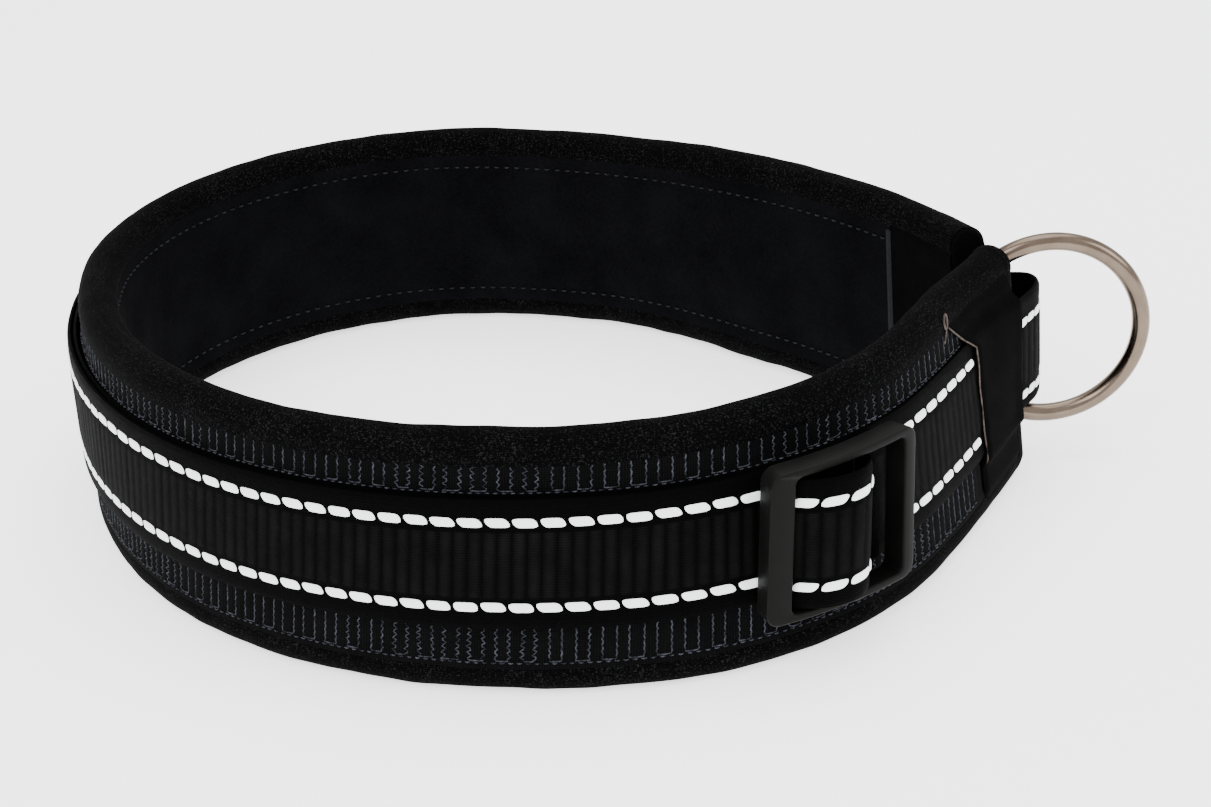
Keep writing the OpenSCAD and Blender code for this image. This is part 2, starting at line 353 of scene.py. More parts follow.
def moulded_plastic():
    made = Finish("grey_satin_moulding", Specular_IOR_Level=0.05)
    skin, cloud = made.grain(0.35, 2.0), made.grain(8.0, 3.0)
    corner = made.node("ShaderNodeNewGeometry").out("Pointiness")
    # Lighter on sharp edges: partly wear, partly a painted highlight where light catches the moulding's
    # bevels.
    wear_and_highlight = ((corner - 0.53) * 9.0).clamped()
    made.colour((cloud * 0.35 + wear_and_highlight * 0.55).clamped(),
                (0.0014, 0.0014, 0.0013), (0.0125, 0.0122, 0.0115))
    made.rough(cloud * 0.2 + 0.34)
    made.bump(skin, 0.03, 0.35)
    return made.material


def satin_nickel(ring_x):
    """Nickel plate, with painted shade: darker brown where the ring lies between the band's ends."""
    made = Finish("satin_nickel_plate", Metallic=1.0)
    place_of = made.node("ShaderNodeTexCoord").out("Object")
    across = made.node("ShaderNodeSeparateXYZ", values={0: place_of}).out(0)
    # Painted shade: the ring is coloured darker where it passes between the band's ends.
    shade_between_ends = (1 - (across - (ring_x - 13) * MM) * (1 / (9 * MM))).clamped()
    cloud, scratch = made.grain(6.0, 4.0), made.grain(0.4, 2.0)
    plate = made.mix(cloud, (0.075, 0.056, 0.042), (0.20, 0.155, 0.12))
    base = made.node("ShaderNodeMix", {"data_type": "RGBA"}, {
        0: shade_between_ends * 0.75, 6: plate, 7: (0.07, 0.045, 0.038, 1)}).out(2)
    made.tree.links.new(base.socket, made.shader.inputs["Base Color"])
    made.rough(cloud * 0.12 + scratch * 0.06 + 0.12)
    made.bump(scratch, 0.012, 0.3)
    return made.material


def foam_block():
    made = Finish("dark_foam", Roughness=0.95, Specular_IOR_Level=0.05)
    cells = made.grain(0.8, 4.0, 0.8)
    made.colour(cells, (0.004, 0.004, 0.0042), (0.02, 0.02, 0.021))
    made.bump(cells, 0.3, 0.8)
    return made.material


# ---------------------------------------------------------------- mesh making
def lattice(rows, cols, wrap_rows=False, wrap_cols=False):
    """Four-sided faces over a grid of points."""
    r, c = np.meshgrid(np.arange(rows - (not wrap_rows)), np.arange(cols - (not wrap_cols)),
                       indexing="ij")
    r2, c2 = (r + 1) % rows, (c + 1) % cols
    return np.stack([r * cols + c, r2 * cols + c, r2 * cols + c2, r * cols + c2],
                    -1).reshape(-1, 4)


def signed_volume(points, quads):
    """Above zero where the closed mesh's faces look outward."""
    a, b, c, d = (points[quads[:, k]] for k in range(4))
    return sum(np.einsum("ij,ij->i", a, np.cross(*pair)) for pair in ((b, c), (c, d))).sum()


def piece(name, points, quads, material, run, caps=(), sharp=35):
    """A closed mesh object from millimetre points; run holds its places along and across."""
    points, run = points.reshape(-1, 3), run.reshape(-1, 2)
    centred = points - points.mean(0)
    faces = quads.tolist() + [list(cap) for cap in caps]
    if signed_volume(centred, quads) < 0:
        faces = [face[::-1] for face in faces]
    mesh = bpy.data.meshes.new(name)
    mesh.from_pydata((points * MM).tolist(), [], faces)
    mesh.polygons.foreach_set("use_smooth", [True] * len(mesh.polygons))
    mesh.set_sharp_from_angle(angle=math.radians(sharp))
    spread = mesh.attributes.new("run", "FLOAT_VECTOR", "POINT")
    spread.data.foreach_set("vector", np.c_[run, np.zeros(len(run))].astype(np.float32).ravel())
    mesh.materials.append(material)
    made = bpy.data.objects.new(name, mesh)
    bpy.context.scene.collection.objects.link(made)
    return made


def slabs(bed, run, z, outer, inner):
    """Closed slabs on a bed. Arrays are (slabs, rows, columns): outer and inner are lifts."""
    run, z, outer, inner = matched(run, z, outer, inner)
    count, rows, cols = run.shape
    each = rows * cols
    points = np.concatenate([bed(run, outer, z).reshape(count, each, 3),
                             bed(run, inner, z).reshape(count, each, 3)], 1)
    face = lattice(rows, cols)
    grid = np.arange(each).reshape(rows, cols)
    rim = np.concatenate([grid[0, :-1], grid[:-1, -1], grid[-1, :0:-1], grid[:0:-1, 0]])
    after = np.roll(rim, -1)
    sides = np.stack([rim + each, after + each, after, rim], -1)
    one = np.concatenate([face, face[:, ::-1] + each, sides])
    quads = (one[None] + np.arange(count)[:, None, None] * 2 * each).reshape(-1, 4)
    spread = np.stack([run, z], -1).reshape(count, each, 2)
    return points.reshape(-1, 3), quads, np.concatenate([spread, spread], 1).reshape(-1, 2)


def slab(bed, run, z, outer, inner):
    run, z = np.meshgrid(run, z, indexing="ij")
    shape = (1,) + run.shape
    return slabs(bed, run.reshape(shape), z.reshape(shape),
                 np.broadcast_to(outer, run.shape).reshape(shape),
                 np.broadcast_to(inner, run.shape).reshape(shape))


def carried(s, o, z):
    """A closed section carried along the band; o and z are (stations, points)."""
    stations, n = o.shape
    points = place(s[:, None], o, z).reshape(-1, 3)
    girth = np.r_[0, np.cumsum(np.hypot(np.diff(o[0]), np.diff(z[0])))]
    run = np.stack(np.broadcast_arrays(s[:, None], girth[None]), -1)
    caps = [list(range(n - 1, -1, -1)), [(stations - 1) * n + j for j in range(n)]]
    return points, lattice(stations, n, wrap_cols=True), run, caps


def tubes(paths, ups, radius, sides=4, flat=1.0):
    """Round threads along paths (count, points, 3) that lie on a surface whose normals are ups."""
    count, n, _ = paths.shape
    along = np.gradient(paths, axis=1)
    along /= np.linalg.norm(along, axis=2, keepdims=True) + 1e-9
    across = np.cross(along, ups)
    across /= np.linalg.norm(across, axis=2, keepdims=True) + 1e-9
    up = np.cross(across, along)
    turn = np.arange(sides) / sides * 2 * math.pi
    thin = np.ones(n)
    thin[[0, -1]] = 0.35
    ring = across[:, :, None] * np.cos(turn)[:, None] + flat * up[:, :, None] * np.sin(turn)[:, None]
    points = paths[:, :, None] + ring * (radius * thin)[None, :, None, None]
    face = lattice(n, sides, wrap_cols=True)
    quads = (face[None] + np.arange(count)[:, None, None] * n * sides).reshape(-1, 4)
    steps = np.linalg.norm(np.diff(paths, axis=1), axis=2)
    length = np.concatenate([np.zeros((count, 1)), np.cumsum(steps, 1)], 1)
    run = np.stack(np.broadcast_arrays(length[..., None], turn * radius), -1)
    caps = []
    for k in range(count):
        start, finish = k * n * sides, (k * n + n - 1) * sides
        caps += [list(range(start + sides - 1, start - 1, -1)), list(range(finish, finish + sides))]
    return points.reshape(-1, 3), quads, run.reshape(-1, 2), caps


def surface_thread(bed, run, z, lift, radius, sides=4, flat=0.8):
    """Threads on a bed, with run and z as (count, points)."""
    paths = bed(run, lift, z)
    ups = bed(run, lift + 1.0, z) - paths
    return tubes(paths, ups, radius, sides, flat)


def dashes(bed, places, z_mid, length, width=DASH_W, slant=0.28):
    """Raised rounded lozenges of white yarn, one at each place along a bed."""
    a, b = np.meshgrid(np.linspace(-1, 1, 11), np.linspace(-1, 1, 7), indexing="ij")
    uneven = seeded.uniform(-1, 1, (3, len(places)))[:, :, None, None]
    run = (places[:, None, None] + length * (0.5 + 0.012 * uneven[0]) * a * (1 - 0.10 * b * b)
           + slant * (1 + 0.4 * uneven[1]) * b)
    z = z_mid + 0.08 * uneven[2] + width / 2 * b * (1 - 0.26 * a ** 6)
    dome = 0.06 + 0.26 * np.sqrt(np.clip(1 - 0.92 * b ** 4, 0, 1)) * (1 - 0.85 * a ** 8)
    return slabs(bed, run, z, np.broadcast_to(dome, run.shape), np.full(run.shape, -0.1))


def joined(parts):
    """Several meshes (points, quads, run and maybe caps) as one."""
    points, quads, runs, caps, start = [], [], [], [], 0
    for part in parts:
        points.append(part[0])
        quads.append(part[1] + start)
        runs.append(part[2].reshape(-1, 2))
        caps += [[i + start for i in cap] for cap in (part[3] if len(part) > 3 else [])]
        start += len(part[0])
    return np.concatenate(points), np.concatenate(quads), np.concatenate(runs), caps


def build(name, mesh, material, sharp=35):
    return piece(name, mesh[0], mesh[1], material, mesh[2], mesh[3] if len(mesh) > 3 else (),
                 sharp)


# ---------------------------------------------------------------- the ends' middle, the fold's direction, and pieces baked where they lie
end_middle = (place(-NEAR_L, -HALF_T, BAND_H / 2) + place(FAR_L, -HALF_T, BAND_H / 2))[:2] / 2 - FOLD
fold_way = np.array([-end_middle[1], end_middle[0]]) / np.linalg.norm(end_middle)


def bends_at_fold(made):
    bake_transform(made)
    return made


# ---------------------------------------------------------------- the padded band
BAND_FROM, BAND_TO = -(NEAR_L - 1.2), FAR_L - 1.2


def band_stations(spacing, start=BAND_FROM, stop=BAND_TO):
    return np.linspace(start, stop, int((stop - start) / spacing) + 1)


def foam_core(material):
    s = band_stations(3.0)
    o = np.array([3.0, 3.0, 2.6, -2.6, -3.0, -3.0, -2.6, 2.6])
    z = np.array([7.0, 43.0, 44.0, 44.0, 43.0, 7.0, 6.0, 6.0])
    made = build("foam_core", carried(s, np.tile(o, (len(s), 1)), np.tile(z, (len(s), 1))),
                 material)
    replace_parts(bends_at_fold(made), "foam_core_front", "foam_core_back")


def rolled_edge(name, z_mid, up, material, nodes):
    """Knit cloth turned over the foam's edge, a fat half round with slow unevenness."""
    s = band_stations(1.0)
    turn = np.radians(np.linspace(-22, 202, 27))
    lump = 0.13 * smooth_noise(s, 9.0, 3 if up else 4) + 0.07 * smooth_noise(s, 3.1, 5 if up else 6)
    radius = HALF_T + 0.12 + lump[:, None] * (0.35 + 0.65 * np.sin(turn))
    o = radius * np.cos(turn)
    z = z_mid + (1 if up else -1) * radius * np.sin(turn)
    if not up:
        z = np.maximum(z, 0.0)
    made = build(name, carried(s, o, z), material)
    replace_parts(bends_at_fold(made), *nodes)


TOP_STITCH = (WEB_HI + 0.6, 45.1)
FOOT_STITCH = (6.9, WEB_LO - 0.5)
COLUMN = 2.35                # pitch of the coverstitch columns


def facing_lift(s, z):
    """Outer face of the facing: drawn in by the coverstitch, a little full between its columns."""
    pull = np.zeros(np.broadcast(s, z).shape)
    for low, high in (TOP_STITCH, FOOT_STITCH):
        inside = ease(z, low - 0.6, low + 0.3) * (1 - ease(z, high - 0.3, high + 0.6))
        ridge = np.abs(np.sin(math.pi * s / COLUMN)) ** 1.5
        pull = pull + inside * (0.22 * ridge - 0.28)
    edge = ease(z, 3.5, 6.0) * (1 - ease(z, BAND_H - 5.6, BAND_H - 3.6))
    return pull - 0.5 * (1 - edge) + 0.06 * smooth_noise(s + 0.7 * z, 5.0, 11)


def outer_facing(material):
    s = band_stations(0.6)
    z = np.concatenate([np.linspace(3.8, WEB_LO + 0.5, 20), np.linspace(WEB_LO + 3, WEB_HI - 3, 4),
                        np.linspace(WEB_HI - 0.3, BAND_H - 3.8, 16)])
    grid_s, grid_z = np.meshgrid(s, z, indexing="ij")
    lift = facing_lift(grid_s, grid_z)
    under = ease(grid_z, WEB_LO - 0.2, WEB_LO + 1) * (1 - ease(grid_z, WEB_HI - 1, WEB_HI + 0.2))
    lift = np.where(under > 0.5, -0.12, lift)
    made = build("outer_facing", slab(band_bed(HALF_T), s, z, lift, lift - 0.8), material)
    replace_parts(bends_at_fold(made), "outer_facing_front", "outer_facing_back")


def coverstitch(material):
    """Thread up one column, across and down the next, with a run of needle dots on each side."""
    for name, (low, high) in (("top_coverstitch", TOP_STITCH), ("foot_coverstitch", FOOT_STITCH)):
        columns = np.arange(math.ceil((-NEAR_L + KEEPER_L + 3) / COLUMN),
                            math.floor((FAR_L - KEEPER_L - 3) / COLUMN))
        steps = int((high - low) / 0.36)
        climb = np.linspace(0, 1, steps)
        rows = []
        for k in columns:
            middle = k * COLUMN + 0.12 * math.sin(k * 2.7)
            slack = math.sin(k * 0.19 + 0.6) + 0.5 * math.sin(k * 1.3)
            loop = 0.13 + 0.42 * float(ease(slack, -0.4, 1.0))
            sway = loop * (2 * np.abs((climb * (high - low) / 1.25 + 0.1 * k) % 1 - 0.5) * 2 - 1)
            side = climb if k % 2 == 0 else 1 - climb
            sideways = sway * (0.9 if k % 2 else 1.0)
            rows.append(np.stack([middle + sideways, low + side * (high - low)], -1))
            across = np.array([0.3, 0.6])
            end_z = high if k % 2 == 0 else low
            rows.append(np.stack([middle + across * COLUMN, np.full(2, end_z)], -1))
        line = np.concatenate(rows)
        bed = lambda run, lift, z: place(run, HALF_T + facing_lift(run, z) + lift, z)
        meander = surface_thread(bed, line[None, :, 0], line[None, :, 1], 0.05, 0.145)
        dots = np.arange(columns[0] * COLUMN, columns[-1] * COLUMN, 1.55)
        run = dots[:, None] + np.linspace(-0.5, 0.5, 4)
        dip = np.array([-0.1, 0.12, 0.12, -0.1])
        rows_of_dots = [surface_thread(bed, run, np.full(run.shape, z), dip, 0.16)
                        for z in (low - 0.35, high + 0.35)]
        made = build(name, joined([meander, *rows_of_dots]), material, 60)
        bends_at_fold(made)


LINING_ROWS = (8.6, 41.4)    # heights of the lining's two stitch rows
LINING_PUFF = 1.5            # most that the lining may stand proud, millimetres


def lining_puff(s, z):
    """How far the lining swells towards the neck: cloth under pressure, held at its stitch rows."""
    between = np.clip((z - LINING_ROWS[0]) / (LINING_ROWS[1] - LINING_ROWS[0]), 0, 1)
    shape = np.sin(math.pi * between) ** 0.6
    coarse_s = s[::4]
    base = place(coarse_s[:, None], -HALF_T, z[None])
    mesh = bpy.data.meshes.new("lining_blank")
    mesh.from_pydata((base.reshape(-1, 3) * MM).tolist(), [], lattice(len(coarse_s), len(z)).tolist())
    blank = bpy.data.objects.new("lining_blank", mesh)
    bpy.context.scene.collection.objects.link(blank)
    held = blank.vertex_groups.new(name="held")
    grid = np.arange(len(coarse_s) * len(z)).reshape(len(coarse_s), len(z))
    sewn = [int(np.abs(z - row).argmin()) for row in LINING_ROWS]
    pins = np.unique(np.concatenate([grid[:, 0], grid[:, -1], grid[0], grid[-1],
                                     *[grid[:, k] for k in sewn]]))
    held.add(pins.tolist(), 1.0, "REPLACE")
    cloth = blank.modifiers.new("cloth", "CLOTH")
    settings = cloth.settings
    settings.vertex_group_mass = "held"
    settings.quality = 6
    settings.mass = 0.15
    settings.tension_stiffness = settings.compression_stiffness = 12
    settings.shear_stiffness = 6
    settings.bending_stiffness = 0.6
    settings.use_pressure = True
    settings.uniform_pressure_force = 4.0
    settings.effector_weights.gravity = 0
    settled = 20
    cloth.point_cache.frame_end = settled
    for step in range(1, settled + 1):
        bpy.context.scene.frame_set(step)
    shaped = blank.evaluated_get(bpy.context.evaluated_depsgraph_get()).data
    moved = np.empty(len(shaped.vertices) * 3)
    shaped.vertices.foreach_get("co", moved)
    moved = moved.reshape(base.shape) / MM
    inward = place(coarse_s[:, None], -HALF_T - 1, z[None]) - base
    puff = np.abs(((moved - base) * inward).sum(-1))
    bpy.context.scene.frame_set(1)
    bpy.data.objects.remove(blank)
    puff = np.minimum(puff, LINING_PUFF * shape[None])
    fine = np.empty((len(s), len(z)))
    for k in range(len(z)):
        fine[:, k] = np.interp(s, coarse_s, puff[:, k])
    return fine


def inner_lining(material, thread):
    start, stop = BAND_FROM + KEEPER_L - 3, BAND_TO - KEEPER_L + 3
    s = band_stations(0.8, start, stop)
    z = np.linspace(4.6, BAND_H - 4.4, 37)
    puff = lining_puff(s, z)
    grid_s, grid_z = np.meshgrid(s, z, indexing="ij")
    dimple = sum(np.exp(-((grid_z - row) / 0.9) ** 2) for row in LINING_ROWS)
    wave = 0.16 * smooth_noise(grid_s * 0.9 + grid_z * 0.6, 8.0, 21) * np.clip(puff, 0, 1)
    inside = ease(grid_z, 4.6, 6.5) * (1 - ease(grid_z, 43.6, 45.6))
    lift = puff + wave - 0.35 * dimple - 0.3 * (1 - inside)
    made = build("inner_lining", slab(band_bed(HALF_T, -1), s, z, lift, -0.9), material)
    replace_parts(bends_at_fold(made), "inner_lining_front", "inner_lining_back")
    dots = np.arange(start + 2, stop - 2, 2.7)
    run = dots[:, None] + np.linspace(-0.75, 0.75, 5)
    arch = np.array([-0.55, -0.22, -0.12, -0.22, -0.55]) + 0.1
    rows = [surface_thread(band_bed(HALF_T, -1), run, np.full(run.shape, row), arch, 0.22, 5)
            for row in LINING_ROWS]
    bends_at_fold(build("lining_stitches", joined(rows), thread, 60))


def end_cloth(side, material, pale):
    """Cloth wrapped over the band's cut end: a cap over the end and a panel back along the lining."""
    way, length = (-1, NEAR_L) if side == "front" else (1, FAR_L)
    turn = np.radians(np.arange(0, 360, 7.5))
    half = BAND_H / 2 - HALF_T
    grow = np.array([0.05, 0.2, 0.15, 0.0, -0.3, -1.0])
    back = np.array([4.6, 4.0, 2.5, 0.9, 0.3, 0.0])
    radius = HALF_T + grow[:, None]
    o = radius * np.cos(turn)
    z = np.maximum(BAND_H / 2 + half * np.sign(np.sin(turn)) + radius * np.sin(turn), 0.0)
    cap = carried(way * (length - back), o, z)
    start, stop = way * (length - KEEPER_L + 1.0), way * (length - 1.2)
    s, height = np.linspace(start, stop, 26), np.linspace(4.3, BAND_H - 4.3, 30)
    grid_s, grid_z = np.meshgrid(s, height, indexing="ij")
    inside = ease(grid_z, 4.3, 6.5) * (1 - ease(grid_z, 43.5, 45.7))
    crumple = 0.45 + 0.10 * smooth_noise(grid_s + 0.5 * grid_z, 4.0, 31) - 0.5 * (1 - inside)
    panel = slab(band_bed(HALF_T, -1), s, height, crumple, -0.4)
    made = build("end_binding_" + side, joined([cap, panel]), material)
    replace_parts(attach(made, side + "_arm"), "end_binding_" + side)
    strip_s = np.linspace(start - way * 1.1, start + way * 0.5, 4)
    strip = slab(band_bed(HALF_T, -1), strip_s, np.linspace(6, BAND_H - 6, 24),
                 np.array([0.5, 0.75, 0.75, 0.55])[:, None], -0.3)
    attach(build("lining_edge_" + side, strip, pale), side + "_arm")


def keeper_edge(z):
    """How much further back than its seam the keeper's cloth starts, up towards the rolled edge."""
    return 11.0 * np.clip((z - SLANT_Z) / SLANT_TALL, 0, 1) ** 1.1


def keeper_lift(s, z, mouth):
    """Height of a keeper's cloth: over the webbing, and down to the facing beside it."""
    over = ease(z, WEB_LO - 3.2, WEB_LO - 0.2) * (1 - ease(z, WEB_HI + 0.2, WEB_HI + 3.2))
    loose = 0.10 * smooth_noise(s * 0.8 + z * 0.35, 3.2, 41) + 0.12 * smooth_noise(z, 2.6, 42)
    lip = 0.35 * np.exp(-(np.abs(s - mouth) / 2.2) ** 2)
    full = 0.5 * ease(np.abs(s), np.abs(mouth) - 14, np.abs(mouth)) * ease(z, 24, 40) \
        * (1 - 0.85 * ease(z, 41, BAND_H - 4))
    return 0.75 + over * (WEB_T + 0.25 + lip) + loose * 0.7 + full


def end_keeper(side, material):
    way, length = (-1, NEAR_L) if side == "front" else (1, FAR_L)
    z = np.linspace(4.6, BAND_H - 4.0, 46)
    t = np.linspace(0, 1, 34)
    stop = length - KEEPER_SHORT[side]
    seam = length - KEEPER_L - (keeper_edge(z) if side == "front" else np.zeros(len(z)))
    run = way * (seam[None] + (stop - seam[None]) * t[:, None])
    grid_z = np.broadcast_to(z, run.shape)
    edge = ease(grid_z, 4.6, 6.8) * (1 - ease(grid_z, BAND_H - 6.2, BAND_H - 4.0))
    lift = keeper_lift(run, grid_z, way * stop) - 0.7 * (1 - edge)
    lift = lift - 0.55 * (1 - ease(t, 0, 0.05))[:, None]
    made = build("end_keeper_" + side, slabs(band_bed(HALF_T), run[None], grid_z[None], lift[None],
                                             lift[None] - 0.7), material)
    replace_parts(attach(made, side + "_arm"), "end_keeper_" + side)


def tail_keeper(material):
    s = np.linspace(TAIL_FAR - 24, TAIL_FAR - 12, 26)
    z = np.linspace(WEB_LO - 5, WEB_HI + 5, 44)
    grid_s, grid_z = np.meshgrid(s, z, indexing="ij")
    over = ease(grid_z, WEB_LO - 2.8, WEB_LO - 0.2) * (1 - ease(grid_z, WEB_HI + 0.2, WEB_HI + 2.8))
    rib = 0.1 * np.abs(np.sin(math.pi * grid_z / 1.6)) ** 0.7
    hem = 0.12 * (np.abs(grid_s - (TAIL_FAR - 18)) > 4.8)
    lift = 0.65 + over * 2 * WEB_T + rib + hem
    made = build("tail_keeper_band", slab(band_bed(HALF_T), s, z, lift, lift - 0.75), material)
    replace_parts(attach(made, "back_arm"), "tail_keeper")


def seam_thread(material):
    """The light thread that closes the front keeper: up its seam, slanting back, into a small knot."""
    s0 = -(NEAR_L - KEEPER_L)
    down = np.linspace(WEB_LO - 1.5, SLANT_Z, 40)
    slope = np.linspace(0, 1, 18)[1:]
    run = np.concatenate([s0 + 0.2 * np.sin(down * 0.7), s0 + slope * 10.5])
    z = np.concatenate([down, SLANT_Z + slope * SLANT_TALL])
    lift = np.concatenate([keeper_lift(np.full(40, s0), down, 0) * 0.55 + 0.35,
                           0.6 + 0.95 * (1 - ease(slope, 0, 0.5))])
    main = surface_thread(band_bed(HALF_T), run[None], z[None], lift[None], 0.2, 6)
    turn = np.linspace(0, 2 * math.pi, 18)
    loop = surface_thread(band_bed(HALF_T), (s0 + 10.6 + 0.75 * np.sin(turn))[None],
                          (47.2 + 1.5 * np.cos(turn))[None], np.full((1, 18), 0.15), 0.24, 6)
    end = surface_thread(band_bed(HALF_T), (s0 + np.linspace(10.6, 12.4, 8))[None],
                         (np.linspace(45.8, 43.3, 8))[None], np.full((1, 8), 0.25), 0.2, 6)
    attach(build("keeper_seam_thread", joined([main, loop, end]), material, 60),
            "front_arm")


# ---------------------------------------------------------------- webbing
def webbing_lift(run, z, seed):
    """Relief of the woven face: cross ribs between the rows, plain selvedges."""
    beside = np.abs(z - WEB_Z)
    field = 1 - ease(beside, ROW_GAP / 2 - 2.2, ROW_GAP / 2 - 1.2)
    rib = np.abs(np.sin(math.pi * run / RIB)) ** 0.55
    groove = 0.12 * np.exp(-((beside - ROW_GAP / 2) / 1.1) ** 2)
    selvedge = 0.3 * ease(beside, 11.6, 12.5)
    return WEB_T - 0.14 + 0.17 * field * rib - groove - selvedge + 0.05 * smooth_noise(run, 12, seed)


def strap(name, bed, start, stop, material, seed, spacing=0.5, z_shift=0.0):
    run = np.linspace(start, stop, max(int(abs(stop - start) / spacing), 8) + 1)
    z = np.concatenate([[WEB_LO, WEB_LO + 0.25, WEB_LO + 0.7], np.linspace(WEB_LO + 2, WEB_HI - 2, 15),
                        [WEB_HI - 0.7, WEB_HI - 0.25, WEB_HI]])
    grid_run, grid_z = np.meshgrid(run, z, indexing="ij")
    outer = webbing_lift(grid_run, grid_z, seed)
    inner = 0.2 * ease(np.abs(grid_z - WEB_Z), 11.6, 12.5)
    points, quads, spread = slab(bed, run, z, outer, inner)
    points[:, 2] += z_shift
    return build(name, (points, quads, spread), material, 50)


def face_of(bed):
    """Where the reflective rows lie on webbing that is built on a bed."""
    return lambda run, lift, z: bed(run, ROW_SEAT + lift, z)


def rows_on(bed, start, stop, phase=0.0, pitch=DASH_PITCH, z_shift=0.0, length=DASH_L):
    """The two reflective rows on a stretch of webbing."""
    places = np.arange(start + phase + 2.6, stop - 2.4, pitch)
    parts = []
    for row, shift in ((WEB_Z + ROW_GAP / 2, 0.0), (WEB_Z - ROW_GAP / 2, 0.45)):
        points, quads, run = dashes(bed, places + shift, row, length)
        points[:, 2] += z_shift
        parts.append((points, quads, run))
    return joined(parts)


def straps(material, white):
    def loose_bed(base):
        return lambda run, lift, z: place(
            run, base + lift + 1.1 * np.exp(-(run / 38) ** 2) * ease(z, WEB_LO, WEB_HI), z)

    main_bed, tail_bed = loose_bed(MAIN_O), loose_bed(TAIL_O)
    main = strap("main_strap", main_bed, -(NEAR_L - 9), FAR_L - 4, material, 51)
    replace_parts(bends_at_fold(main), "main_strap_front", "main_strap_back")
    tail = strap("tail_strap", tail_bed, -TAIL_NEAR, TAIL_FAR, material, 52)
    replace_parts(bends_at_fold(tail), "tail_strap_front", "tail_strap_back")
    near = rows_on(face_of(main_bed), -(NEAR_L - KEEPER_L) + 0.3, -(SLIDER_S + 15.6))
    far = rows_on(face_of(main_bed), TAIL_FAR + 2, FAR_L - KEEPER_L - 0.5)
    bends_at_fold(build("reflective_rows_main", joined([near, far]), white, 60))
    loose = rows_on(face_of(tail_bed), -(SLIDER_S - 13.2), TAIL_FAR - 1, phase=-1.6)
    bends_at_fold(build("reflective_rows_tail", loose, white, 60))


def spline(points, count):
    """Evenly spaced points on a smooth curve through the given ones."""
    p = np.array(points, float)
    p = np.vstack([2 * p[0] - p[1], p, 2 * p[-1] - p[-2]])
    curve = []
    for k in range(1, len(p) - 2):
        t = np.linspace(0, 1, 40, endpoint=False)[:, None]
        curve.append(0.5 * (2 * p[k] + (p[k + 1] - p[k - 1]) * t
                            + (2 * p[k - 1] - 5 * p[k] + 4 * p[k + 1] - p[k + 2]) * t ** 2
                            + (3 * p[k] - p[k - 1] - 3 * p[k + 1] + p[k + 2]) * t ** 3))
    curve = np.vstack([*curve, p[-2]])
    length = np.r_[0, np.cumsum(np.linalg.norm(np.diff(curve, axis=0), axis=1))]
    even = np.linspace(0, length[-1], count)
    return even, np.stack([np.interp(even, length, curve[:, k]) for k in (0, 1)], -1)


def directions(line):
    """Unit directions along the points of a flat curve."""
    along = np.gradient(line, axis=0)
    return along / np.linalg.norm(along, axis=1)[:, None]


def path_bed(points):
    """A bed that stands along a plan curve, facing to its right."""
    length, line = spline(points, 400)
    along = directions(line)
    right = np.stack([along[:, 1], -along[:, 0]], -1)

    def bed(run, lift, z):
        run, lift, z = matched(run, lift, z)
        x, y, rx, ry = (np.interp(run, length, v) for v in (*line.T, *right.T))
        return np.stack([x + rx * lift, y + ry * lift, z], -1)
    return bed, length[-1]


def control_loop(material, white):
    """The short loop of webbing that joins the two keeper mouths, outside the ring's inner arc."""
    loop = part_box("control_loop")
    front_x = loop[1].x / MM - WEB_T + 0.8
    near_back, near_out, near = (place(-(NEAR_L - back), MAIN_O, WEB_Z)[:2] for back in (11, 7, 3))
    far, far_back = (place(FAR_L - back, MAIN_O, WEB_Z)[:2] for back in (3, 7))
    middle = (loop[0].y + loop[1].y) / 2 / MM
    route = [near_back, near_out, near, (front_x - 1.9, middle - 3.2), (front_x - 0.4, middle - 0.2),
             (front_x, middle + 2.4), (front_x - 1.4, middle + 5.2), (far[0] + 2.0, middle + 6.6),
             far, far_back]
    bed, length = path_bed(route)
    drop = -0.9              # the loop hangs a little lower than the strap
    made = strap("control_loop_webbing", bed, 0, length, material, 53, 0.4, drop)
    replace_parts(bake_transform(made), "control_loop")
    rows = rows_on(face_of(bed), 2.2, length - 5.0, pitch=3.2, z_shift=drop - 1.0, length=2.75)
    made = build("reflective_rows_loop", rows, white, 60)
    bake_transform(made)


# ---------------------------------------------------------------- slider
SLIDER_LONG, SLIDER_TALL, SLIDER_THICK = 32.0, 29.6, 5.0
LEFT_BAR, RIGHT_BAR, WINDOW_TALL = 4.8, 2.8, 26.6   # widths of the side bars, height of the window
SLIDER_TILT = 0.075          # how far the webbing below tips it out, per millimetre of height
SLIDER_IN = TAIL_O + WEB_T + 0.5
SLIDER_R = NEAR_RADII[1] + SLIDER_IN + SLIDER_THICK / 2
BAR_AT, BAR_WIDE, BAR_THICK, BAR_LIFT = -1.0, 4.0, 1.8, 0.9    # the centre bar


def slider_bed(base):
    """Over the webbing at the slider: run is measured on the moulding, towards the ring."""
    return lambda run, lift, z: place(-(SLIDER_S + run * NEAR_RADII[1] / SLIDER_R),
                                      base + lift + SLIDER_TILT * (z - WEB_LO + 1), z)


def rounded_outline(wide, tall, corner, mid=0.0):
    """Points round a rounded rectangle, as many on each corner and side whatever its size."""
    points = []
    for k, (x, y) in enumerate(((1, 1), (-1, 1), (-1, -1), (1, -1))):
        centre = np.array([x * (wide / 2 - corner), y * (tall / 2 - corner)])
        for a in np.linspace(k * 90, k * 90 + 90, 9):
            points.append(centre + corner * unit(a))
        before = points[-1]
        nx, ny = ((-1, 1), (-1, -1), (1, -1), (1, 1))[k]
        after = np.array([nx * (wide / 2 - corner), ny * (tall / 2 - corner)])
        after = after + corner * unit(k * 90 + 90)
        for t in np.linspace(0, 1, 8)[1:-1]:
            points.append(before * (1 - t) + after * t)
    return np.array(points) + [mid, 0]


